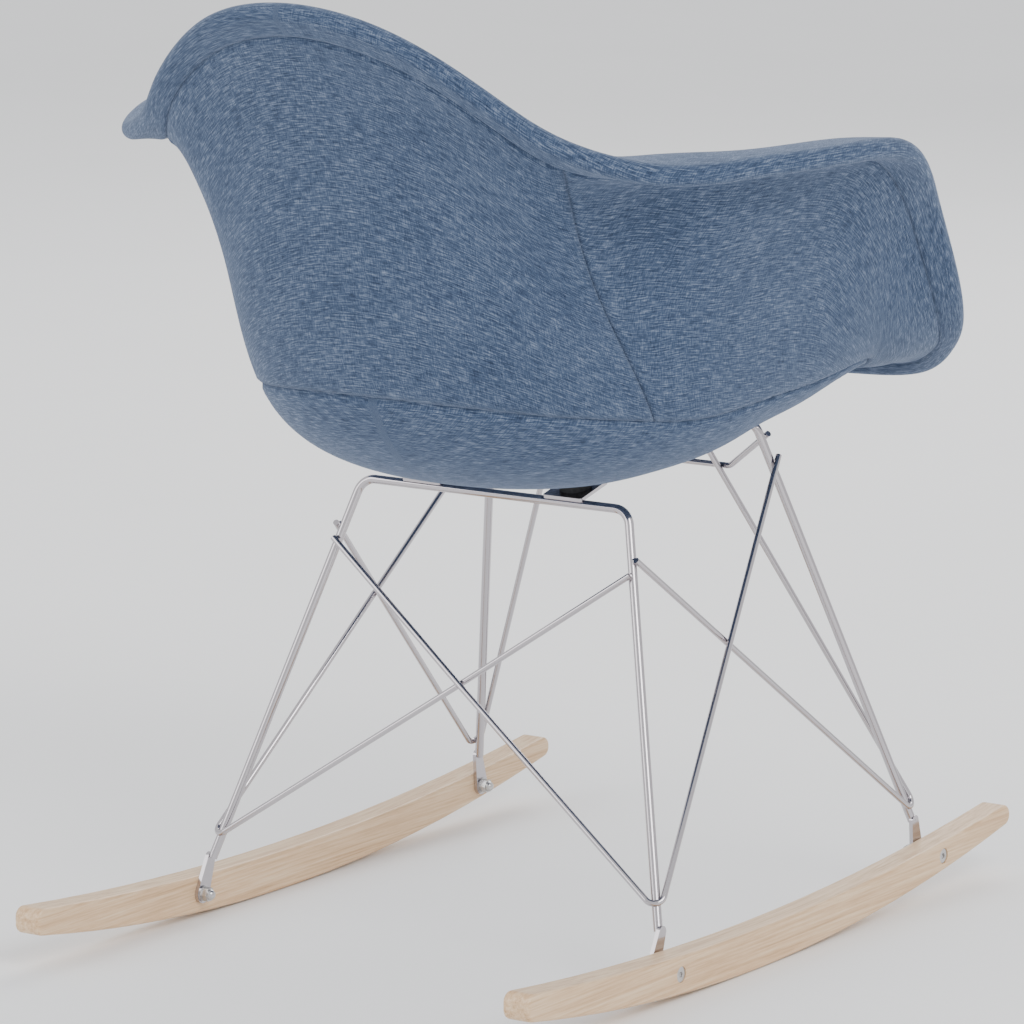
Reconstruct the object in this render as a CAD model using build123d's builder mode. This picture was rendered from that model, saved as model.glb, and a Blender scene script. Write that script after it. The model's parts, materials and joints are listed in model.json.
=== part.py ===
"""Padded armshell rocking chair on a bent wire base with two wooden rockers.

Millimetres, +Z up, +Y is where the sitter faces, +X is the sitter's right hand seen from behind.
The origin lies on the floor under the middle of the chair.
"""
from build123d import *
import os
from math import atan2, cos, degrees, pi, radians, sin
import numpy as np

# ---- driving dimensions -------------------------------------------------------------------
ROCKER_LENGTH = 690.0
ROCKER_X = 221.2              # centre plane of each rocker
ROCKER_THICK = 23.4
ROCKER_BOTTOM_R = 1829.0
ROCKER_TOP_R = 2996.0
ROCKER_MID_HEIGHT = 31.3
ROCKER_LOW_Y = -28.4          # where the chair touches the floor at rest
ROCKER_EDGE = 3.0             # rounding of the long edges
ROCKER_END_ROUND = 7.8

HEAVY_R = 3.5                 # radius of the heavy rod
THIN_R = 2.4                  # radius of the thin rod
FRAME_BEND = 15.0             # bend radius of the heavy rod
WIRE_BEND = 7.5               # bend radius of the thin rod
GENTLE_BEND = 900.0           # radius where two crossing wires bow round each other

# one side of the base; the other side is its mirror image
REAR_CORNER = (121.8, -46.5, 341.1)
REAR_FOOT = (201.7, -128.8, 59.1)
REAR_BOLT = (-143.4, 19.5)
FRONT_CORNER = (121.7, 131.2, 384.3)
FRONT_FOOT = (205.6, 234.4, 60.2)
FRONT_BOLT = (239.7, 32.0)

REAR_WIRE_FOOT = (207.6, -134.9, 59.2)
REAR_WIRE_TOP = (136.3, -66.3, 295.9)
REAR_WIRE_FRONT = (135.6, 145.6, 355.9)
FRONT_WIRE_FOOT = (213.0, 241.7, 57.6)
FRONT_WIRE_TOP = (60.0, 135.7, 380.2)
FRONT_WIRE_REAR = (137.8, -60.4, 306.6)
CROSSING = (0.0, -93.5, 202.0)
CROSSING_BOW = 2.6
DIP_LOW = (86.0, 154.0, 341.5)
DIP_END = (128.9, 141.0, 373.0)

TAB_THICK = 3.2
TAB_WIDTH = 15.0
TAB_NECK = 1.2                # the tab is this much wider than the rod at its top
REAR_KNEE_Z = 46.0            # heights where the round legs end
FRONT_KNEE_Z = 58.0
TAB_X = ROCKER_X - ROCKER_THICK / 2 - TAB_THICK / 2 - 0.1
BOLT_R = 3.0
BOLT_CLEAR = 0.15
BOLT_HEAD_R = 6.0
BOLT_HEAD_DEEP = 4.0          # recess in the rocker
BOLT_HEAD_HIGH = 3.2
DRIVE_R = 2.5                 # hexagon socket
DRIVE_DEEP = 2.0
WASHER_R = 6.5
WASHER_THICK = 1.2
NUT_FLATS = 10.0
NUT_HIGH = 5.0
DOME_R = 4.25

PLATE_X = 65.0
PLATE_WIDTH = 35.0
PLATE_DEEP = 38.0
PLATE_THICK = 2.5
PLATE_CORNER = 2.0
PLATE_REACH = 15.5            # from the bar's axis to the screw, along the plate
RUBBER_R = 12.0
SCREW_R = 2.5
SCREW_HEAD_R = 4.75
SCREW_HEAD_HIGH = 2.8
INSERT_R = 5.0
INSERT_HIGH = 4.5
HOLE_GAP = 0.3

FABRIC = 2.6                  # laminated upholstery cloth
GAP = 0.3                     # clearance between the layers of the shell
WADDING = 2.0
CORE = 4.5
RIM_HALF = 8.0                # half thickness of the padded shell at its rim
BODY_HALF = 12.0              # and in its body

# Mid-surface of the padded shell. Each station runs from the rim into the seat:
# edge, flange, neck, wall, bend, seat. They go from the back's centre line (x = 0),
# down the waist, round the right arm and along the front lip to the front's centre.
STATIONS = [
    ((0, -312, 730), (0, -288, 706), (0, -265, 668), (0, -226, 560), (0, -178, 416), (0, -90, 367)),
    ((60, -305, 721), (57, -281, 696), (55, -258, 659), (58, -220, 556), (60, -171, 415), (36, -86, 367)),
    ((109, -286, 697), (105, -264, 673), (100, -241, 636), (106, -204, 545), (110, -148, 412), (68, -70, 368)),
    ((152, -260, 663), (146, -238, 639), (138, -215, 600), (140, -178, 528), (143, -113, 409), (92, -46, 371)),
    ((186, -228, 635), (169, -205, 617), (157, -181, 580), (158, -144, 510), (160, -72, 406), (104, -18, 375)),
    ((240, -179, 617), (204, -150, 615), (180, -132, 578), (178, -100, 500), (172, -32, 406), (112, 10, 381)),
    ((277, -118, 619), (238, -100, 614), (214, -90, 572), (196, -58, 497), (178, 6, 410), (114, 38, 388)),
    ((303, -48, 622), (264, -36, 616), (234, -26, 572), (210, -4, 494), (182, 46, 417), (112, 68, 396)),
    ((311, 22, 620), (272, 28, 608), (244, 34, 562), (220, 54, 490), (188, 86, 424), (108, 98, 404)),
    ((302, 72, 599), (268, 72, 576), (246, 76, 534), (226, 90, 482), (192, 122, 433), (102, 124, 411)),
    ((288, 114, 564), (260, 110, 538), (242, 110, 506), (226, 120, 474), (196, 148, 440), (98, 150, 417)),
    ((276, 162, 503), (252, 154, 488), (236, 150, 472), (220, 152, 458), (190, 170, 440), (90, 170, 420)),
    ((257, 202, 462), (237, 194, 455), (221, 188, 448), (205, 184, 442), (177, 186, 435), (80, 184, 422)),
    ((232, 231, 439), (216, 225, 440), (201, 217, 438), (187, 209, 434), (158, 202, 431), (68, 194, 423)),
    ((193, 260, 418), (183, 253, 427), (172, 244, 430), (160, 234, 430), (134, 222, 428), (54, 202, 423)),
    ((118, 281, 408), (112, 276, 421), (106, 268, 428), (98, 256, 430), (82, 236, 428), (34, 208, 424)),
    ((0, 293, 404), (0, 288, 418), (0, 279, 426), (0, 266, 429), (0, 244, 427), (0, 210, 423)),
]
SEAT_CENTRE = (0.0, 60.0, 390.0)
EDGE_Q = 0.0                  # q counts the rings: 0 is the edge, 5 the seat, 6 the centre
RIM_SEAM_Q = 0.55             # the front cover's outer hem
BOTTOM_SEAM_Q = 3.8           # seam between the upright panels and the underside
CENTRE_Q = 5.7                # inside this ring the seat's middle is flat
THICK_Q = 2.1                 # the padding reaches its full thickness here
SIDE_SEAM = 4.0               # station of the vertical seam at the waist
FRONT_CENTRE = float(len(STATIONS) - 1)
LAST_RING = float(len(STATIONS[0]))
SEAM_GAP_Q = 0.015
SEAM_GAP_STATION = 0.01
PANEL_AROUND = 16             # sample points along a panel
AROUND = 40                   # sample points of each ring
RIM_TURNS = (0.2, 0.4, 0.6, 0.8)
SKIN_QS = (0.0, 0.25, 0.55, 0.9, 1.25, 1.6, 2.0, 2.4, 2.8, 3.2, 3.5, 3.8, 4.1, 4.4, 4.7, 5.0, 5.3, 5.7)


# ---- the shell's mid-surface --------------------------------------------------------------
def spline_slopes(points, closed):
    """Slopes of a cubic spline through points, closed or with natural ends."""
    count = len(points)
    last = count if closed else count - 1
    steps = [np.linalg.norm(points[(i + 1) % count] - points[i]) ** 0.5 + 1e-9 for i in range(last)]
    matrix = np.zeros((count, count))
    right = np.zeros((count, 3))
    for i in range(last):
        j = (i + 1) % count
        pull = 3 * (points[j] - points[i]) / steps[i] ** 2
        matrix[i, i] += 2 / steps[i]
        matrix[j, j] += 2 / steps[i]
        matrix[i, j] += 1 / steps[i]
        matrix[j, i] += 1 / steps[i]
        right[i] += pull
        right[j] += pull
    return np.linalg.solve(matrix, right), steps


def spline_point(points, slopes, steps, t):
    """Point of the spline at parameter t, which counts the points."""
    count = len(points)
    i = min(int(np.floor(t)), len(steps) - 1)
    u = t - i
    j = (i + 1) % count
    start = (2 * u**3 - 3 * u**2 + 1) * points[i] + (u**3 - 2 * u**2 + u) * steps[i] * slopes[i]
    end = (3 * u**2 - 2 * u**3) * points[j] + (u**3 - u**2) * steps[i] * slopes[j]
    return start + end


def ring_splines():
    """One closed spline per ring, through the right half and its mirror image."""
    splines = []
    for ring in range(len(STATIONS[0])):
        half = [np.array(station[ring], float) for station in STATIONS]
        other = [point * [-1, 1, 1] for point in half[1:-1]][::-1]
        points = half + other
        splines.append((points, *spline_slopes(points, True)))
    return splines


RINGS = ring_splines()


def column(station):
    """Spline from the edge to the seat's centre at one station."""
    points = [spline_point(*ring, station % (2 * FRONT_CENTRE)) for ring in RINGS]
    points.append(np.array(SEAT_CENTRE))
    return (points, *spline_slopes(points, False))


def frame_at(station, q):
    """Point, outward normal and inward direction of the mid-surface."""
    step = 0.02
    here = column(station)
    point = spline_point(*here, q)
    inner = min(q, LAST_RING - 0.2)
    low = max(inner - step, 0.0)
    inward = spline_point(*here, inner + step) - spline_point(*here, low)
    along = spline_point(*column(station + step), inner) - spline_point(*column(station - step), inner)
    normal = np.cross(inward, along)
    return point, normal / np.linalg.norm(normal), inward / np.linalg.norm(inward)


def half_thickness(q):
    """Half of the padded shell's thickness, from the rim to the body."""
    u = min(q / THICK_Q, 1.0)
    return RIM_HALF + (BODY_HALF - RIM_HALF) * u * u * (3 - 2 * u)


def middle_plane():
    """Plane that holds the flat middle of the seat."""
    ring = [frame_at(s, CENTRE_Q)[0] for s in np.linspace(0, 2 * FRONT_CENTRE, 24, endpoint=False)]
    centre = np.mean(ring, axis=0)
    normal = np.linalg.svd(np.array(ring) - centre)[2][2]
    normal[0] = 0.0
    normal = normal / np.linalg.norm(normal)
    return centre, normal if normal[2] < 0 else -normal


MIDDLE, MIDDLE_NORMAL = middle_plane()


def skin_point(station, q, offset):
    """Point at offset(half thickness) outward of the mid-surface."""
    point, normal, _ = frame_at(station, q)
    if q >= CENTRE_Q:
        point = point - MIDDLE_NORMAL * np.dot(point - MIDDLE, MIDDLE_NORMAL)
        normal = MIDDLE_NORMAL
    return point + normal * offset(half_thickness(q))


def rim_point(station, turn, depth):
    """Point on the rounded rim: turn 0 is the outer side, 1 the sitting side."""
    point, normal, inward = frame_at(station, EDGE_Q)
    angle = pi * turn
    return point + (RIM_HALF - depth) * (cos(angle) * normal - sin(angle) * inward)


# ---- offsets of the layers, outward of the mid-surface, by half thickness -------------------
def fabric_outer(half):
    return half


def fabric_inner(half):
    return half - FABRIC


def wadding_outer(half):
    return half - FABRIC - GAP


def wadding_inner(half):
    return wadding_outer(half) - WADDING


def core_outer(half):
    return wadding_inner(half) - GAP


def core_inner(half):
    return core_outer(half) - CORE


def pad_outer(half):
    return core_inner(half) - GAP


def pad_inner(half):
    return FABRIC + GAP - half


# ---- solids of the shell's layers ---------------------------------------------------------
def ring(point_at):
    """Closed smooth wire through the points of all stations."""
    stations = np.linspace(0, 2 * FRONT_CENTRE, AROUND, endpoint=False)
    return Wire([Edge.make_spline([Vector(*point_at(s)) for s in stations], periodic=True)])


def skin_ring(q, offset):
    return ring(lambda station: skin_point(station, q, offset))


def rim_ring(turn, depth):
    return ring(lambda station: rim_point(station, turn, depth))


def closed_solid(outer_rings, inner_rings, closed_middle):
    """Solid between two lofted skins; the middle is capped or, on a band, left open."""
    faces = [*Shell.make_loft(outer_rings).faces(), *Shell.make_loft(inner_rings).faces()]
    faces += Face.make_surface_from_curves(outer_rings[0], inner_rings[0]).faces()
    if closed_middle:
        faces += [Face(outer_rings[-1]), Face(inner_rings[-1])]
    else:
        faces += Face.make_surface_from_curves(outer_rings[-1], inner_rings[-1]).faces()
    solid = Solid(Shell(faces))
    return solid if solid.volume > 0 else Solid(-Shell(faces))


def layer(q_from, q_to, inner_offset, outer_offset):
    """Layer of the shell between two rings and two offsets."""
    between = [q for q in SKIN_QS if q_from + 0.1 < q < q_to - 0.1]
    steps = [q_from, *between, q_to]
    outer = [skin_ring(q, outer_offset) for q in steps]
    inner = [skin_ring(q, inner_offset) for q in steps]
    return closed_solid(outer, inner, q_to >= CENTRE_Q)


def cover_rings(depth):
    """The front cover's rings from its hem, over the rim, to the seat's middle."""
    rings = [skin_ring(q, lambda half: half - depth) for q in (RIM_SEAM_Q, 0.28, EDGE_Q)]
    rings += [rim_ring(turn, depth) for turn in RIM_TURNS]
    rings += [skin_ring(q, lambda half: depth - half) for q in SKIN_QS]
    return rings


def one_shell_part(name, solid):
    with BuildPart() as piece:
        add(solid)
    piece.part.label = name
    return piece


# ---- places where the base carries the shell ----------------------------------------------
BASE_TILT = degrees(atan2(FRONT_CORNER[2] - REAR_CORNER[2], FRONT_CORNER[1] - REAR_CORNER[1]))
FORWARD = Vector(0, cos(radians(BASE_TILT)), sin(radians(BASE_TILT)))
PLATE_TOP = HEAVY_R + PLATE_THICK


def mount_plane(side, corner, reach):
    """Plane in the middle of one mount: on the bar's axis level, Z square to the plate."""
    bar = Vector(side * PLATE_X, corner[1], corner[2])
    return Plane(origin=bar + FORWARD * reach, x_dir=(1, 0, 0), z_dir=FORWARD.cross(Vector(-1, 0, 0)))


MOUNTS = [
    mount_plane(side, corner, reach)
    for side in (1, -1)
    for corner, reach in ((REAR_CORNER, PLATE_REACH), (FRONT_CORNER, -PLATE_REACH))
]


def height_under(shell, plane):
    """Least distance from the bar level up to the shell's underside, over the rubber mount."""
    found = []
    for x, y in ((0, 0), (RUBBER_R, 0), (-RUBBER_R, 0), (0, RUBBER_R), (0, -RUBBER_R)):
        start = plane.from_local_coords(Vector(x, y, 0))
        hits = shell.find_intersection_points(Axis(start, plane.z_dir))
        found.append(min((point - start).dot(plane.z_dir) for point, _ in hits))
    return min(found) - GAP


# ---- the padded shell ---------------------------------------------------------------------
with BuildPart() as seat_shell:
    add(layer(EDGE_Q, CENTRE_Q, core_inner, core_outer))
seat_shell.part.label = "seat_shell"

with BuildPart() as seat_pad:
    add(layer(EDGE_Q, CENTRE_Q, pad_inner, pad_outer))
seat_pad.part.label = "seat_pad"

with BuildPart() as shell_wadding:
    add(layer(EDGE_Q, CENTRE_Q, wadding_inner, wadding_outer))
shell_wadding.part.label = "shell_wadding"

with BuildPart() as underside_panel:
    add(layer(BOTTOM_SEAM_Q, CENTRE_Q, fabric_inner, fabric_outer))
underside_panel.part.label = "underside_panel"

with BuildPart() as front_cover:
    add(closed_solid(cover_rings(0.0), cover_rings(FABRIC), True))
front_cover.part.label = "front_cover"


def panel(first, last):
    """Upright panel between two stations, from the rim seam down to the bottom seam."""
    q_from, q_to = RIM_SEAM_Q + SEAM_GAP_Q, BOTTOM_SEAM_Q - SEAM_GAP_Q
    steps = [q_from, *[q for q in SKIN_QS if q_from + 0.1 < q < q_to - 0.1], q_to]
    stations = np.linspace(first, last, PANEL_AROUND)
    skins = []
    edges = []
    for offset in (fabric_outer, fabric_inner):
        lines = [
            Wire([Edge.make_spline([Vector(*skin_point(s, q, offset)) for s in stations])])
            for q in steps
        ]
        skin = Shell.make_loft(lines).faces()[0]
        ends = [skin_point(s, (q_from + q_to) / 2, offset) for s in (first, last)]
        sides = [min(skin.edges(), key=lambda edge: edge.distance_to(Vector(*end))) for end in ends]
        skins.append(skin)
        edges.append([lines[0].edge(), lines[-1].edge(), *sides])
    strips = [Face.make_surface_from_curves(outer, inner) for outer, inner in zip(*edges)]
    solid = Solid(Shell([*skins, *strips]))
    return solid if solid.volume > 0 else Solid(-Shell([*skins, *strips]))


with BuildPart() as back_panel:
    add(panel(-SIDE_SEAM + SEAM_GAP_STATION, SIDE_SEAM - SEAM_GAP_STATION))
back_panel.part.label = "back_panel"

with BuildPart() as side_panel_right:
    add(panel(SIDE_SEAM + SEAM_GAP_STATION, FRONT_CENTRE - SEAM_GAP_STATION))
side_panel_right.part.label = "side_panel_right"

with BuildPart() as side_panel_left:
    add(side_panel_right.part.mirror(Plane.YZ))
side_panel_left.part.label = "side_panel_left"


# ---- the bent wire base -------------------------------------------------------------------
def mirrored_point(point):
    return (-point[0], point[1], point[2])


def rod(points, bends, radius):
    """Bent rod of round section through points, with a bend radius at each corner."""
    with BuildPart() as piece:
        with BuildLine() as path:
            FilletPolyline(*points, radius=bends)
        with BuildSketch(Plane(origin=path.line @ 0, z_dir=path.line % 0)):
            Circle(radius)
        sweep()
    return piece.part


def knee(corner, foot, height):
    """Lower end of a leg's round part, on the line from its corner through its foot."""
    reach = (corner[2] - height) / (corner[2] - foot[2])
    return tuple(a + (b - a) * reach for a, b in zip(corner, foot))


def leg_frame(corner, foot, bolt, knee_height):
    """Heavy rod bent to a U, with a forged tab at the end of each leg."""
    end = knee(corner, foot, knee_height)
    points = [end, corner, mirrored_point(corner), mirrored_point(end)]
    with BuildPart() as piece:
        add(rod(points, FRAME_BEND, HEAVY_R))
        with BuildPart(mode=Mode.PRIVATE) as tab:
            with BuildSketch(Plane.YZ.offset(TAB_X - TAB_THICK / 2)):
                with Locations((end[1], end[2])):
                    Circle(HEAVY_R + TAB_NECK)
                with Locations(bolt):
                    Circle(TAB_WIDTH / 2)
                make_hull()
            extrude(amount=TAB_THICK)
            with BuildSketch(Plane.YZ.offset(TAB_X - TAB_THICK)):
                with Locations(bolt):
                    Circle(BOLT_R + BOLT_CLEAR)
            extrude(amount=2 * TAB_THICK, mode=Mode.SUBTRACT)
        add(tab.part)
        mirror(tab.part, about=Plane.YZ)
    return piece.part


with BuildPart() as rear_frame:
    add(leg_frame(REAR_CORNER, REAR_FOOT, REAR_BOLT, REAR_KNEE_Z))
rear_frame.part.label = "rear_frame"

with BuildPart() as front_frame:
    add(leg_frame(FRONT_CORNER, FRONT_FOOT, FRONT_BOLT, FRONT_KNEE_Z))
front_frame.part.label = "front_frame"

with BuildPart() as front_stretcher:
    dip = [DIP_END, DIP_LOW, mirrored_point(DIP_LOW), mirrored_point(DIP_END)]
    add(rod(dip, WIRE_BEND, THIN_R))
front_stretcher.part.label = "front_stretcher"


def rear_strut(side):
    """Thin rod bent at one rear foot; the two rods bow round each other where they cross."""
    def placed(point, on_side):
        return (point[0] * on_side, point[1], point[2])
    slope = Vector(0, REAR_FOOT[1] - REAR_CORNER[1], REAR_FOOT[2] - REAR_CORNER[2]).normalized()
    back = Vector(0, slope.Z, -slope.Y)
    middle = Vector(*CROSSING) + back * CROSSING_BOW * side
    top = placed(REAR_WIRE_TOP, -side)
    points = [top, tuple(middle), placed(REAR_WIRE_FOOT, side), placed(REAR_WIRE_FRONT, side)]
    return rod(points, [GENTLE_BEND, WIRE_BEND], THIN_R)


with BuildPart() as strut_rear_right:
    add(rear_strut(1))
strut_rear_right.part.label = "strut_rear_right"

with BuildPart() as strut_rear_left:
    add(rear_strut(-1))
strut_rear_left.part.label = "strut_rear_left"

with BuildPart() as strut_front_right:
    add(rod([FRONT_WIRE_REAR, FRONT_WIRE_FOOT, FRONT_WIRE_TOP], WIRE_BEND, THIN_R))
strut_front_right.part.label = "strut_front_right"

with BuildPart() as strut_front_left:
    add(strut_front_right.part.mirror(Plane.YZ))
strut_front_left.part.label = "strut_front_left"

# ---- plates, rubber mounts, inserts and screws under the shell ------------------------------
PLATE_BITE = 0.2              # the weld takes this much of the plate
bars = rear_frame.part + front_frame.part

with BuildPart() as mount_plates:
    for plane in MOUNTS:
        with BuildSketch(plane.offset(HEAVY_R - PLATE_BITE)):
            RectangleRounded(PLATE_WIDTH, PLATE_DEEP, PLATE_CORNER)
            Circle(SCREW_R + HOLE_GAP, mode=Mode.SUBTRACT)
        extrude(amount=PLATE_THICK + PLATE_BITE)
    add(bars, mode=Mode.SUBTRACT)
mount_plates.part.label = "mount_plates"

HEIGHTS = [height_under(underside_panel.part, plane) for plane in MOUNTS]
SCREW_PLACES = list(zip(MOUNTS, HEIGHTS))

with BuildPart() as rubber_mounts:
    for plane, height in SCREW_PLACES:
        with BuildSketch(plane.offset(PLATE_TOP)):
            Circle(RUBBER_R)
            Circle(INSERT_R, mode=Mode.SUBTRACT)
        extrude(amount=INSERT_HIGH)
        with BuildSketch(plane.offset(PLATE_TOP + INSERT_HIGH)):
            Circle(RUBBER_R)
        extrude(amount=height - PLATE_TOP - INSERT_HIGH)
rubber_mounts.part.label = "rubber_mounts"

with BuildPart() as mount_inserts:
    for plane in MOUNTS:
        with BuildSketch(plane.offset(PLATE_TOP)):
            Circle(INSERT_R)
            Circle(SCREW_R, mode=Mode.SUBTRACT)
        extrude(amount=INSERT_HIGH)
mount_inserts.part.label = "mount_inserts"

with BuildPart() as mount_screws:
    for plane in MOUNTS:
        with BuildSketch(plane.offset(HEAVY_R - PLATE_BITE - SCREW_HEAD_HIGH)):
            Circle(SCREW_HEAD_R)
        extrude(amount=SCREW_HEAD_HIGH)
        with BuildSketch(plane.offset(HEAVY_R - PLATE_BITE)):
            Circle(SCREW_R)
        extrude(amount=PLATE_THICK + PLATE_BITE + INSERT_HIGH - 0.5)
mount_screws.part.label = "mount_screws"


# ---- rockers and their bolts --------------------------------------------------------------
def arc_height(y, radius):
    return radius - (radius**2 - y**2) ** 0.5


HALF_LENGTH = ROCKER_LENGTH / 2
BOLTS = (REAR_BOLT, FRONT_BOLT)
INNER_FACE = ROCKER_X - ROCKER_THICK / 2
OUTER_FACE = ROCKER_X + ROCKER_THICK / 2

with BuildPart() as rocker_right:
    with BuildSketch(Plane.YZ.offset(INNER_FACE)):
        with BuildLine():
            heel, toe = -HALF_LENGTH, HALF_LENGTH
            heel_y, toe_y = heel - ROCKER_LOW_Y, toe - ROCKER_LOW_Y
            under = (heel, arc_height(heel_y, ROCKER_BOTTOM_R)), (toe, arc_height(toe_y, ROCKER_BOTTOM_R))
            over = [(end, ROCKER_MID_HEIGHT + arc_height(y, ROCKER_TOP_R)) for end, y in ((heel, heel_y), (toe, toe_y))]
            ThreePointArc(under[0], (ROCKER_LOW_Y, 0), under[1])
            Line(under[1], over[1])
            ThreePointArc(over[1], (ROCKER_LOW_Y, ROCKER_MID_HEIGHT), over[0])
            Line(over[0], under[0])
        make_face()
        fillet(vertices(), ROCKER_END_ROUND)
    extrude(amount=ROCKER_THICK)
    fillet(faces().filter_by(Plane.YZ).edges(), ROCKER_EDGE)
    with BuildSketch(Plane.YZ.offset(INNER_FACE)):
        with Locations(*BOLTS):
            Circle(BOLT_R + BOLT_CLEAR)
    extrude(amount=ROCKER_THICK, mode=Mode.SUBTRACT)
    with BuildSketch(Plane.YZ.offset(OUTER_FACE - BOLT_HEAD_DEEP)):
        with Locations(*BOLTS):
            Circle(BOLT_HEAD_R + BOLT_CLEAR)
    extrude(amount=BOLT_HEAD_DEEP, mode=Mode.SUBTRACT)
rocker_right.part.label = "rocker_right"

with BuildPart() as rocker_left:
    add(rocker_right.part.mirror(Plane.YZ))
rocker_left.part.label = "rocker_left"

WASHER_FACE = TAB_X - TAB_THICK / 2
NUT_FACE = WASHER_FACE - WASHER_THICK

with BuildPart() as rocker_bolts:
    with BuildSketch(Plane.YZ.offset(OUTER_FACE - BOLT_HEAD_DEEP)):
        with Locations(*BOLTS):
            Circle(BOLT_HEAD_R)
    extrude(amount=BOLT_HEAD_HIGH)
    fillet(faces().sort_by(Axis.X)[-1].edges(), 0.6)
    with BuildSketch(Plane.YZ.offset(OUTER_FACE - BOLT_HEAD_DEEP + BOLT_HEAD_HIGH - DRIVE_DEEP)):
        with Locations(*BOLTS):
            RegularPolygon(DRIVE_R, 6)
    extrude(amount=DRIVE_DEEP, mode=Mode.SUBTRACT)
    with BuildSketch(Plane.YZ.offset(NUT_FACE - NUT_HIGH)):
        with Locations(*BOLTS):
            Circle(BOLT_R)
    extrude(amount=OUTER_FACE - BOLT_HEAD_DEEP - NUT_FACE + NUT_HIGH)
    mirror(about=Plane.YZ)
rocker_bolts.part.label = "rocker_bolts"

with BuildPart() as rocker_washers:
    with BuildSketch(Plane.YZ.offset(NUT_FACE)):
        with Locations(*BOLTS):
            Circle(WASHER_R)
            Circle(BOLT_R + BOLT_CLEAR, mode=Mode.SUBTRACT)
    extrude(amount=WASHER_THICK)
    mirror(about=Plane.YZ)
rocker_washers.part.label = "rocker_washers"

with BuildPart() as acorn_nuts:
    with BuildSketch(Plane.YZ.offset(NUT_FACE - NUT_HIGH)):
        with Locations(*BOLTS):
            RegularPolygon(NUT_FLATS / 2, 6, major_radius=False)
    extrude(amount=NUT_HIGH)
    with Locations(*[(NUT_FACE - NUT_HIGH, y, z) for y, z in BOLTS]):
        Sphere(DOME_R)
    with BuildSketch(Plane.YZ.offset(NUT_FACE - NUT_HIGH)):
        with Locations(*BOLTS):
            Circle(BOLT_R)
    extrude(amount=NUT_HIGH, mode=Mode.SUBTRACT)
    mirror(about=Plane.YZ)
acorn_nuts.part.label = "acorn_nuts"

PIECES = [
    seat_shell, seat_pad, shell_wadding, front_cover, back_panel, side_panel_left, side_panel_right,
    underside_panel, rear_frame, front_frame, front_stretcher, strut_rear_left, strut_rear_right,
    strut_front_left, strut_front_right, mount_plates, rubber_mounts, mount_inserts, mount_screws,
    rocker_left, rocker_right, rocker_bolts, rocker_washers, acorn_nuts,
]
os.makedirs("parts", exist_ok=True)
for piece in PIECES:
    export_step(piece.part, f"parts/{piece.part.label}.step")
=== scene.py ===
"""Looks of the padded rocking chair: upholstery, chromed wire base, beech rockers, stage and camera."""
import json
from math import pi, radians
import bmesh
import bpy
import numpy as np
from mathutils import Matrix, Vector


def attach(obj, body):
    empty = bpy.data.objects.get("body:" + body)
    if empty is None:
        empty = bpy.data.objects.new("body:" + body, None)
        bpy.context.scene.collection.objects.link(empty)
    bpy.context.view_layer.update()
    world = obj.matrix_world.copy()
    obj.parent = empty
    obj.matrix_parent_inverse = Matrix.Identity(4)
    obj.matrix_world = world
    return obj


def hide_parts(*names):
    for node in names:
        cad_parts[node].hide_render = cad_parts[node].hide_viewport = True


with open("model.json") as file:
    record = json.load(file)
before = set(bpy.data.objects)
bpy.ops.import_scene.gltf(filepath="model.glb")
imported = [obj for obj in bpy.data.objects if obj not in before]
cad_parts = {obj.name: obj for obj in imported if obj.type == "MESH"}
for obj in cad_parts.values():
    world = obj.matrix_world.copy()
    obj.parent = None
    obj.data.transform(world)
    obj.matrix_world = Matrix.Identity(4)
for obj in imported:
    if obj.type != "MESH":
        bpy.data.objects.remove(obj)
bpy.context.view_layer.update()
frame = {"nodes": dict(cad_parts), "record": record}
MM = 0.001

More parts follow.
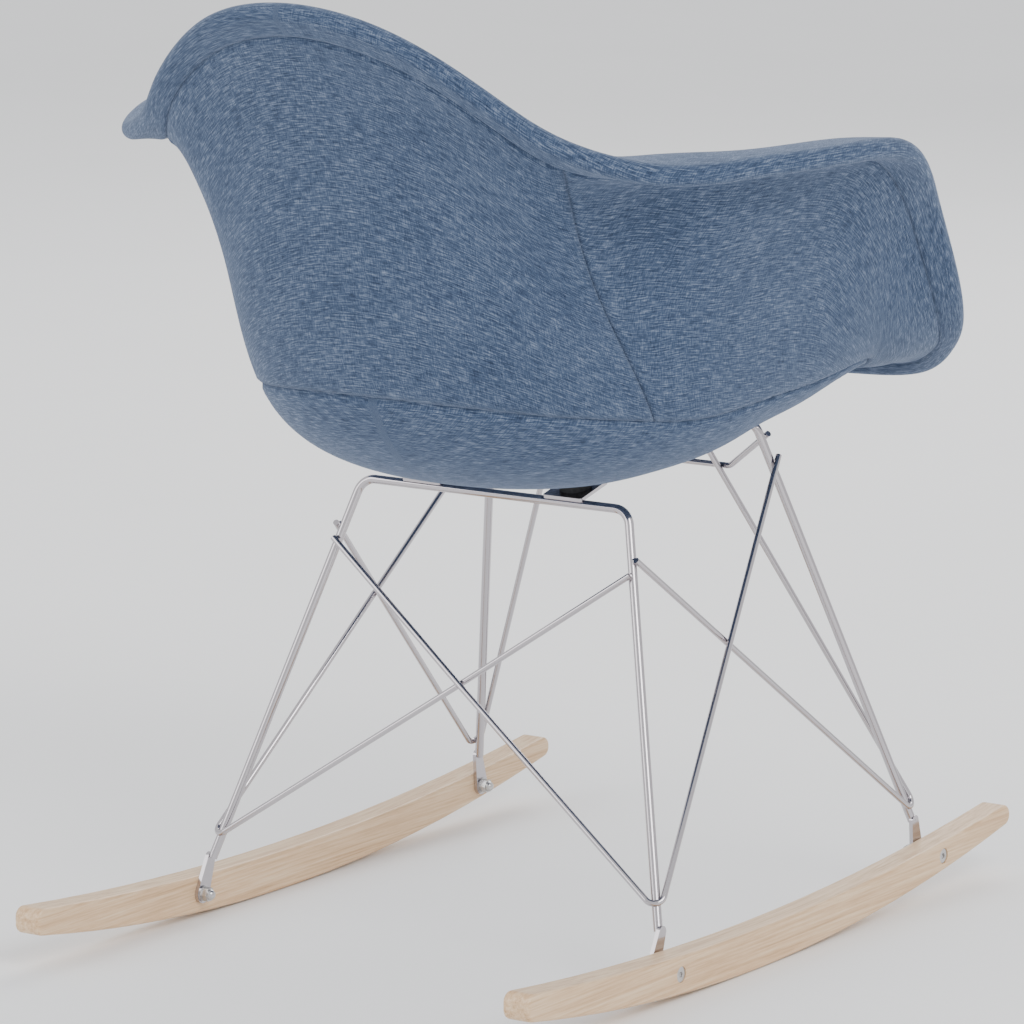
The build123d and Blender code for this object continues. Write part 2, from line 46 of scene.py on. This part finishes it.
# Mid-surface of the padded shell in millimetres, as the CAD model has it: stations from the
# back's centre down the waist, round the arm and along the front lip; each from rim to seat.
STATIONS = [
    ((0, -312, 730), (0, -288, 706), (0, -265, 668),
     (0, -226, 560), (0, -178, 416), (0, -90, 367)),
    ((60, -305, 721), (57, -281, 696), (55, -258, 659),
     (58, -220, 556), (60, -171, 415), (36, -86, 367)),
    ((109, -286, 697), (105, -264, 673), (100, -241, 636),
     (106, -204, 545), (110, -148, 412), (68, -70, 368)),
    ((152, -260, 663), (146, -238, 639), (138, -215, 600),
     (140, -178, 528), (143, -113, 409), (92, -46, 371)),
    ((186, -228, 635), (169, -205, 617), (157, -181, 580),
     (158, -144, 510), (160, -72, 406), (104, -18, 375)),
    ((240, -179, 617), (204, -150, 615), (180, -132, 578),
     (178, -100, 500), (172, -32, 406), (112, 10, 381)),
    ((277, -118, 619), (238, -100, 614), (214, -90, 572),
     (196, -58, 497), (178, 6, 410), (114, 38, 388)),
    ((303, -48, 622), (264, -36, 616), (234, -26, 572),
     (210, -4, 494), (182, 46, 417), (112, 68, 396)),
    ((311, 22, 620), (272, 28, 608), (244, 34, 562),
     (220, 54, 490), (188, 86, 424), (108, 98, 404)),
    ((302, 72, 599), (268, 72, 576), (246, 76, 534),
     (226, 90, 482), (192, 122, 433), (102, 124, 411)),
    ((288, 114, 564), (260, 110, 538), (242, 110, 506),
     (226, 120, 474), (196, 148, 440), (98, 150, 417)),
    ((276, 162, 503), (252, 154, 488), (236, 150, 472),
     (220, 152, 458), (190, 170, 440), (90, 170, 420)),
    ((257, 202, 462), (237, 194, 455), (221, 188, 448),
     (205, 184, 442), (177, 186, 435), (80, 184, 422)),
    ((232, 231, 439), (216, 225, 440), (201, 217, 438),
     (187, 209, 434), (158, 202, 431), (68, 194, 423)),
    ((193, 260, 418), (183, 253, 427), (172, 244, 430),
     (160, 234, 430), (134, 222, 428), (54, 202, 423)),
    ((118, 281, 408), (112, 276, 421), (106, 268, 428),
     (98, 256, 430), (82, 236, 428), (34, 208, 424)),
    ((0, 293, 404), (0, 288, 418), (0, 279, 426),
     (0, 266, 429), (0, 244, 427), (0, 210, 423)),
]
SEAT_CENTRE = (0.0, 60.0, 390.0)
FRONT = len(STATIONS) - 1
RINGS = len(STATIONS[0])
RIM_HALF = 8.0                # half the padding's thickness at the rim
BODY_HALF = 12.0              # and in the body of the shell
THICK_Q = 2.1                 # ring parameter where the padding reaches its full thickness
RIM_SEAM = 0.55               # seams in ring parameters, 0 at the rim
BOTTOM_SEAM = 3.8
SIDE_SEAM = 4.0               # station of the seams between the back and side panels
CENTRE_Q = 5.97               # where the rings stop and a cap closes the seat's middle
CLOTH = 2.6                   # thickness of each upholstery piece
BACKING = 0.4                 # extra depth of its hidden face
SEAM_WIDTH = 2.6              # how far from a seam the cloth rolls in
SEAM_DEPTH = 2.3
STITCH = 7.0                  # spacing of the puckers along the seams
LONG_STITCH = 2.7 * STITCH    # slower swell under the puckers
UNDERSIDE_PUCKER = (9.0, 0.28)    # reach from the seam and height
BOTTOM_PUCKER = (11.0, 0.3)
RIM_PUCKER = (6.0, 0.12)
OUTER_WAVES = 0.5             # height of the broad unevenness on the outer panels
SEAT_WAVES = 0.9              # and on the sitting side
WAVES_FROM_SEAM = 25          # the unevenness is full this far from a seam
WELD_RADIUS = 2.7
COVER_AROUND, BACK_AROUND, SIDE_AROUND, UNDERSIDE_AROUND = 384, 120, 160, 256    # mesh rows
HEM_ROWS, RIM_ROWS, SEAT_ROWS, PANEL_ROWS, UNDERSIDE_ROWS = 10, 13, 120, 96, 60


# ---- the shell's surface ------------------------------------------------------------------
def slopes_of(points, closed):
    """Slopes of a cubic spline through points, closed or with natural ends."""
    count = len(points)
    last = count if closed else count - 1
    steps = np.array([np.linalg.norm(points[(i + 1) % count] - points[i]) ** 0.5 for i in range(last)])
    matrix = np.zeros((count, count))
    right = np.zeros((count, 3))
    for i in range(last):
        j = (i + 1) % count
        pull = 3 * (points[j] - points[i]) / steps[i] ** 2
        matrix[i, i] += 2 / steps[i]
        matrix[j, j] += 2 / steps[i]
        matrix[i, j] += 1 / steps[i]
        matrix[j, i] += 1 / steps[i]
        right[i] += pull
        right[j] += pull
    return np.linalg.solve(matrix, right), steps


def along_spline(points, slopes, steps, t):
    """Points of a spline at the parameters t, which count its points."""
    i = np.minimum(np.floor(t).astype(int), len(steps) - 1)
    u = (t - i)[:, None]
    j = (i + 1) % len(points)
    h = steps[i][:, None]
    start = (2 * u**3 - 3 * u**2 + 1) * points[i] + (u**3 - 2 * u**2 + u) * h * slopes[i]
    return start + (3 * u**2 - 2 * u**3) * points[j] + (u**3 - u**2) * h * slopes[j]


def ring_splines():
    splines = []
    for ring in range(RINGS):
        half = [np.array(station[ring], float) for station in STATIONS]
        points = np.array(half + [p * [-1, 1, 1] for p in half[1:-1]][::-1])
        splines.append((points, *slopes_of(points, True)))
    return splines


RING_SPLINES = ring_splines()


def middle(stations, qs):
    """Mid-surface points for arrays of stations and ring parameters: [station, q, xyz]."""
    rows = np.stack([along_spline(*ring, stations % (2 * FRONT)) for ring in RING_SPLINES], axis=1)
    found = []
    for row in rows:
        points = np.vstack([row, SEAT_CENTRE])
        found.append(along_spline(points, *slopes_of(points, False), qs))
    return np.array(found)


def surface_frames(stations, qs):
    """Points, outward normals and inward directions of the mid-surface."""
    step = 0.02
    inner = np.minimum(qs, RINGS - 0.15)
    points = middle(stations, qs)
    inward = middle(stations, inner + step) - middle(stations, np.maximum(inner - step, 0.0))
    along = middle(stations + step, inner) - middle(stations - step, inner)
    normals = np.cross(inward, along)
    normals /= np.linalg.norm(normals, axis=2, keepdims=True)
    inward /= np.linalg.norm(inward, axis=2, keepdims=True)
    return points, normals, inward


def half_thickness(qs):
    u = np.minimum(qs / THICK_Q, 1.0)
    return RIM_HALF + (BODY_HALF - RIM_HALF) * u * u * (3 - 2 * u)


def arc_lengths(points, axis):
    gaps = np.linalg.norm(np.diff(points, axis=axis), axis=2)
    start = np.zeros_like(points[:, :1, 0] if axis == 1 else points[:1, :, 0])
    return np.concatenate([start, np.cumsum(gaps, axis=axis)], axis=axis)


# ---- mesh building ------------------------------------------------------------------------
def cloth_mesh(name, outer, inner, capped, uv_middle):
    """Closed mesh between two grids of points in millimetres, with metre-scaled UVs.

    A capped piece goes all the way round and is closed in the middle of the seat; the others have
    two free sides and a free bottom edge. uv_middle is the row where the UVs start from zero.
    """
    rows, columns = outer.shape[:2]
    count = rows * columns
    u = arc_lengths(outer, 0)
    u = u - u[uv_middle][None, :]
    v = arc_lengths(outer, 1)
    verts = np.concatenate([outer.reshape(-1, 3), inner.reshape(-1, 3)]) * MM
    around = rows if capped else rows - 1
    faces = []
    for i in range(around):
        j = (i + 1) % rows
        for k in range(columns - 1):
            a, b, c, d = i * columns + k, i * columns + k + 1, j * columns + k + 1, j * columns + k
            faces.append((a, b, c, d))
            faces.append((count + d, count + c, count + b, count + a))
        faces.append((i * columns, j * columns, count + j * columns, count + i * columns))
        if not capped:
            a, d = (i + 1) * columns - 1, (j + 1) * columns - 1
            faces.append((d, a, count + a, count + d))
    if capped:
        last = [i * columns + columns - 1 for i in range(rows)]
        faces.append(tuple(last[::-1]))
        faces.append(tuple(count + i for i in last))
    else:
        for k in range(columns - 1):
            end = (rows - 1) * columns
            faces.append((k + 1, k, count + k, count + k + 1))
            faces.append((end + k, end + k + 1, count + end + k + 1, count + end + k))
    mesh = bpy.data.meshes.new(name)
    mesh.from_pydata(verts.tolist(), [], faces)
    uv = mesh.uv_layers.new(name="cloth")
    flat = np.stack([u.reshape(-1), v.reshape(-1)], axis=1) * MM
    flat = np.concatenate([flat, flat])
    loops = np.zeros(len(mesh.loops), int)
    mesh.loops.foreach_get("vertex_index", loops)
    uv.data.foreach_set("uv", flat[loops].reshape(-1).astype(np.float32))
    editable = bmesh.new()
    editable.from_mesh(mesh)
    bmesh.ops.recalc_face_normals(editable, faces=editable.faces)
    editable.to_mesh(mesh)
    editable.free()
    mesh.shade_smooth()
    piece = bpy.data.objects.new(name, mesh)
    bpy.context.collection.objects.link(piece)
    return piece


def roll_in(distance):
    """How deep the cloth turns in towards a seam at a distance from it, in millimetres."""
    return SEAM_DEPTH * np.exp(-((distance / SEAM_WIDTH) ** 2))


def pucker(along, distance, reach, height):
    """Little gathers along a stitched seam that fade away from it."""
    ripple = np.sin(2 * pi * along / STITCH) + 0.5 * np.sin(2 * pi * along / LONG_STITCH + 1.0)
    return height * ripple * np.exp(-distance / reach)


def soft_waves(points, height):
    """Broad unevenness of stretched cloth over foam."""
    x, y, z = (points[..., i] for i in range(3))
    wave = np.sin(x / 31 + z / 47) + np.sin(y / 37 - z / 29 + 1.3) + np.sin((x + y) / 23 + z / 61)
    return height * wave / 3


def panel(name, first, last, columns_around, capped=False):
    """One outer panel from rim to bottom seam; a capped one goes round and on to the seat's middle."""
    stations = np.linspace(first, last, columns_around, endpoint=not capped)
    start, end = (BOTTOM_SEAM, CENTRE_Q) if capped else (RIM_SEAM, BOTTOM_SEAM)
    qs = np.linspace(start, end, UNDERSIDE_ROWS if capped else PANEL_ROWS)
    points, normals, _ = surface_frames(stations, qs)
    half = half_thickness(qs)[None, :, None]
    across = arc_lengths(points, 1)
    around = arc_lengths(points, 0)
    dip = roll_in(across)
    lift = pucker(around, across, *UNDERSIDE_PUCKER)
    if not capped:
        to_bottom = across[:, -1:] - across
        to_sides = np.minimum(around, around[-1:, :] - around)
        dip = np.maximum(np.maximum(dip, roll_in(to_bottom)), roll_in(to_sides))
        lift = pucker(around, to_bottom, *BOTTOM_PUCKER) + pucker(around, across, *RIM_PUCKER)
    lift = lift + soft_waves(points, OUTER_WAVES) * np.minimum(across / WAVES_FROM_SEAM, 1)
    outer = points + normals * (half + (lift - dip)[..., None])
    inner = points + normals * (half - CLOTH - BACKING)
    return cloth_mesh(name, outer, inner, capped, len(stations) // 2)


def front_cover():
    """Fabric of the sitting side, wrapped over the rounded rim to the rim seam."""
    stations = np.linspace(0, 2 * FRONT, COVER_AROUND, endpoint=False)
    hem_q = np.linspace(RIM_SEAM, 0, HEM_ROWS)
    turn = np.linspace(0, 1, RIM_ROWS)[1:-1]
    seat_q = np.linspace(0, CENTRE_Q, SEAT_ROWS)
    hem, hem_n, _ = surface_frames(stations, hem_q)
    seat, seat_n, _ = surface_frames(stations, seat_q)
    rim, rim_n, rim_in = (grid[:, :1] for grid in surface_frames(stations, np.zeros(1)))
    dip = roll_in(arc_lengths(hem, 1))[..., None]
    layers = []
    for depth, sink in ((0.0, 1.0), (CLOTH + BACKING, 0.0)):
        over = hem + hem_n * (half_thickness(hem_q)[None, :, None] - depth - sink * dip)
        angle = (pi * turn)[None, :, None]
        round_rim = rim + (RIM_HALF - depth) * (np.cos(angle) * rim_n - np.sin(angle) * rim_in)
        waves = sink * soft_waves(seat, SEAT_WAVES)[..., None] * np.minimum(seat_q, 1)[None, :, None]
        inside = seat - seat_n * (half_thickness(seat_q)[None, :, None] - depth + waves)
        layers.append(np.concatenate([over, round_rim, inside], axis=1))
    return cloth_mesh("front_cover_cloth", *layers, True, 0)


# ---- materials ----------------------------------------------------------------------------
def new_material(name):
    material = bpy.data.materials.new(name)
    material.use_nodes = True
    nodes = material.node_tree.nodes
    return material, nodes, material.node_tree.links, nodes["Principled BSDF"]


def stretched_noise(nodes, links, source, scale, detail, rough):
    """Noise stretched by a different scale along each axis of its source."""
    mapping = nodes.new("ShaderNodeMapping")
    mapping.inputs["Scale"].default_value = scale
    links.new(source, mapping.inputs["Vector"])
    noise = nodes.new("ShaderNodeTexNoise")
    noise.inputs["Scale"].default_value = 1.0
    noise.inputs["Detail"].default_value = detail
    noise.inputs["Roughness"].default_value = rough
    links.new(mapping.outputs["Vector"], noise.inputs["Vector"])
    return noise.outputs["Fac"]


def mixed(nodes, links, operation, first, second, third=None):
    """Output of a maths node whose inputs are numbers or other nodes' outputs."""
    node = nodes.new("ShaderNodeMath")
    node.operation = operation
    for i, value in enumerate((first, second, third)):
        if value is None:
            continue
        if isinstance(value, (int, float)):
            node.inputs[i].default_value = value
        else:
            links.new(value, node.inputs[i])
    return node.outputs[0]


def ramp(nodes, links, source, stops):
    """Colours along a value, from stops of a place and a colour."""
    node = nodes.new("ShaderNodeValToRGB")
    elements = node.color_ramp.elements
    while len(elements) < len(stops):
        elements.new(0.5)
    for element, (place, colour) in zip(elements, stops):
        element.position = place
        element.color = (*colour, 1)
    links.new(source, node.inputs["Fac"])
    return node.outputs["Color"]


def linen(name):
    """Heathered linen-look cloth: uneven weft slubs over a finer warp."""
    material, nodes, links, shader = new_material(name)
    uv = nodes.new("ShaderNodeUVMap")
    uv.uv_map = "cloth"
    weft = stretched_noise(nodes, links, uv.outputs["UV"], (85, 900, 1), 4.0, 0.68)
    warp = stretched_noise(nodes, links, uv.outputs["UV"], (1000, 150, 1), 3.0, 0.62)
    cloud = stretched_noise(nodes, links, uv.outputs["UV"], (14, 26, 1), 2.0, 0.5)
    heather = mixed(nodes, links, "MULTIPLY", weft, 0.63)
    heather = mixed(nodes, links, "MULTIPLY_ADD", warp, 0.3, heather)
    heather = mixed(nodes, links, "MULTIPLY_ADD", cloud, 0.07, heather)
    dark, middle_blue, pale = (0.008, 0.016, 0.042), (0.044, 0.070, 0.128), (0.20, 0.245, 0.34)
    colour = ramp(nodes, links, heather, [(0.36, dark), (0.5, middle_blue), (0.65, pale)])
    links.new(colour, shader.inputs["Base Color"])
    shader.inputs["Roughness"].default_value = 0.88
    shader.inputs["Specular IOR Level"].default_value = 0.25
    shader.inputs["Sheen Weight"].default_value = 0.25
    shader.inputs["Sheen Roughness"].default_value = 0.5
    shader.inputs["Sheen Tint"].default_value = (0.6, 0.72, 0.95, 1)
    bump = nodes.new("ShaderNodeBump")
    bump.inputs["Strength"].default_value = 0.55
    bump.inputs["Distance"].default_value = 0.0006
    links.new(heather, bump.inputs["Height"])
    links.new(bump.outputs["Normal"], shader.inputs["Normal"])
    return material


def chrome():
    """Bright plated rod with faintly smeared polish."""
    material, nodes, links, shader = new_material("chromed_rod")
    shader.inputs["Metallic"].default_value = 1.0
    shader.inputs["Base Color"].default_value = (0.50, 0.47, 0.49, 1)
    place = nodes.new("ShaderNodeTexCoord").outputs["Object"]
    smear = stretched_noise(nodes, links, place, (40, 40, 40), 3.0, 0.5)
    links.new(mixed(nodes, links, "MULTIPLY_ADD", smear, 0.10, 0.06), shader.inputs["Roughness"])
    return material


def beech():
    """Oiled beech: long grain streaks with short flecks."""
    material, nodes, links, shader = new_material("beech_wood")
    place = nodes.new("ShaderNodeTexCoord").outputs["Object"]
    grain = stretched_noise(nodes, links, place, (420, 7, 420), 6.0, 0.6)
    fleck = stretched_noise(nodes, links, place, (900, 60, 900), 2.0, 0.5)
    tone = mixed(nodes, links, "MULTIPLY_ADD", grain, 0.8, mixed(nodes, links, "MULTIPLY", fleck, 0.2))
    stops = [(0.32, (0.52, 0.31, 0.15)), (0.5, (0.70, 0.47, 0.27)), (0.66, (0.80, 0.60, 0.39))]
    links.new(ramp(nodes, links, tone, stops), shader.inputs["Base Color"])
    shader.inputs["Roughness"].default_value = 0.42
    shader.inputs["Coat Weight"].default_value = 0.15
    bump = nodes.new("ShaderNodeBump")
    bump.inputs["Strength"].default_value = 0.25
    bump.inputs["Distance"].default_value = 0.0004
    links.new(tone, bump.inputs["Height"])
    links.new(bump.outputs["Normal"], shader.inputs["Normal"])
    return material


def plain(name, dark, pale, metallic, roughness, scale):
    """Slightly uneven material for rubber, inserts, fasteners and hidden layers."""
    material, nodes, links, shader = new_material(name)
    place = nodes.new("ShaderNodeTexCoord").outputs["Object"]
    noise = stretched_noise(nodes, links, place, (scale, scale, scale), 4.0, 0.6)
    links.new(ramp(nodes, links, noise, [(0.3, dark), (0.7, pale)]), shader.inputs["Base Color"])
    shader.inputs["Metallic"].default_value = metallic
    shader.inputs["Roughness"].default_value = roughness
    return material


MATERIALS = {
    "upholstery": linen("linen_blue"),
    "chrome_rod": chrome(),
    "beech": beech(),
    "rubber": plain("black_rubber", (0.012, 0.012, 0.012), (0.03, 0.03, 0.03), 0.0, 0.7, 300),
    "brass": plain("brass_insert", (0.5, 0.38, 0.16), (0.72, 0.56, 0.26), 1.0, 0.35, 200),
    "fastener": plain("plated_steel", (0.45, 0.44, 0.44), (0.62, 0.61, 0.6), 1.0, 0.28, 400),
    "foam": plain("cut_foam", (0.72, 0.68, 0.55), (0.86, 0.82, 0.7), 0.0, 0.95, 700),
    "shell_plastic": plain("moulded_shell", (0.62, 0.6, 0.55), (0.75, 0.73, 0.68), 0.0, 0.5, 250),
}
for subpart in frame["record"]["subparts"]:
    node = frame["nodes"][subpart["node"]]
    node.data.materials.clear()
    node.data.materials.append(MATERIALS[subpart["material_slot"]])


# ---- upholstery pieces --------------------------------------------------------------------
def dress(piece, *nodes):
    """Cover a piece in the cloth and let it stand for CAD nodes."""
    piece.data.materials.append(MATERIALS["upholstery"])
    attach(piece, "root")
    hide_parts(*nodes)


dress(front_cover(), "front_cover", "seat_pad", "seat_shell")
dress(panel("back_panel_cloth", -SIDE_SEAM, SIDE_SEAM, BACK_AROUND), "back_panel", "shell_wadding")
for side, low, high in (("right", SIDE_SEAM, FRONT), ("left", FRONT, 2 * FRONT - SIDE_SEAM)):
    dress(panel(f"side_panel_{side}_cloth", low, high, SIDE_AROUND), f"side_panel_{side}")
dress(panel("underside_cloth", 0, 2 * FRONT, UNDERSIDE_AROUND, capped=True), "underside_panel")


# ---- weld beads ---------------------------------------------------------------------------
def bead(name, place):
    """Small uneven weld bead where two rods meet."""
    mesh = bpy.data.meshes.new(name)
    ball = bmesh.new()
    bmesh.ops.create_icosphere(ball, subdivisions=3, radius=WELD_RADIUS * MM)
    for vertex in ball.verts:
        swell = 1 + 0.12 * np.sin(vertex.co.x * 1900 + place[0]) * np.cos(vertex.co.z * 1700 + place[2])
        vertex.co *= swell
    ball.to_mesh(mesh)
    ball.free()
    mesh.shade_smooth()
    piece = bpy.data.objects.new(name, mesh)
    for vertex in mesh.vertices:
        vertex.co = [c + p * MM for c, p in zip(vertex.co, place)]
    bpy.context.collection.objects.link(piece)
    mesh.materials.append(MATERIALS["chrome_rod"])
    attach(piece, "root")


WELDS = {
    "strut_on_rear_leg": (134.5, -63.5, 294.5),
    "side_strut_on_rear_leg": (135.0, -57.6, 305.0),
    "strut_on_front_leg": (132.8, 144.0, 350.0),
    "strut_under_front_bar": (60.4, 134.4, 380.5),
    "stretcher_on_front_leg": (125.8, 139.2, 370.5),
}
for name, (x, y, z) in WELDS.items():
    for side, sign in (("right", 1), ("left", -1)):
        bead(f"weld_{name}_{side}", (sign * x, y, z))


# ---- stage, light and camera --------------------------------------------------------------
CAMERA_PLACE = (2.6511, -3.9464, 1.2077)
CAMERA_TILT = 10.58           # degrees below level
CAMERA_HEADING = 34.04        # degrees round from straight behind the chair
LENS, SENSOR = 221.74, 36     # millimetres
FLOOR_SIZE, FLOOR_DROP = 14, 0.0005


def make_floor():
    bpy.ops.mesh.primitive_plane_add(size=FLOOR_SIZE, location=(0, 0, -FLOOR_DROP))
    floor = bpy.context.object
    floor.name = "floor"
    floor.data.materials.append(plain("pale_floor", (0.93, 0.93, 0.93), (0.95, 0.95, 0.95), 0.0, 0.8, 2))


def make_light(name, place, aim, size, power):
    data = bpy.data.lights.new(name, "AREA")
    data.size = size
    data.energy = power
    light = bpy.data.objects.new(name, data)
    light.location = place
    direction = np.array(aim) - np.array(place)
    light.rotation_euler = Vector(direction).to_track_quat("-Z", "Y").to_euler()
    bpy.context.collection.objects.link(light)


def make_world(strength):
    world = bpy.data.worlds.new("studio")
    world.use_nodes = True
    world.node_tree.nodes["Background"].inputs["Color"].default_value = (0.93, 0.94, 0.96, 1)
    world.node_tree.nodes["Background"].inputs["Strength"].default_value = strength
    bpy.context.scene.world = world


def make_camera():
    data = bpy.data.cameras.new("camera")
    data.lens = LENS
    data.sensor_width = SENSOR
    camera = bpy.data.objects.new("camera", data)
    camera.location = CAMERA_PLACE
    camera.rotation_euler = (radians(90 - CAMERA_TILT), 0, radians(CAMERA_HEADING))
    bpy.context.collection.objects.link(camera)
    bpy.context.scene.camera = camera


make_floor()
make_light("key", (3.2, -1.6, 3.0), (0, 0, 0.4), 2.2, 95)
make_light("fill", (-2.4, -3.4, 2.2), (0, 0, 0.4), 2.6, 50)
make_light("back", (-1.0, 3.2, 2.8), (0, 0, 0.5), 2.0, 55)
make_world(1.15)
make_camera()
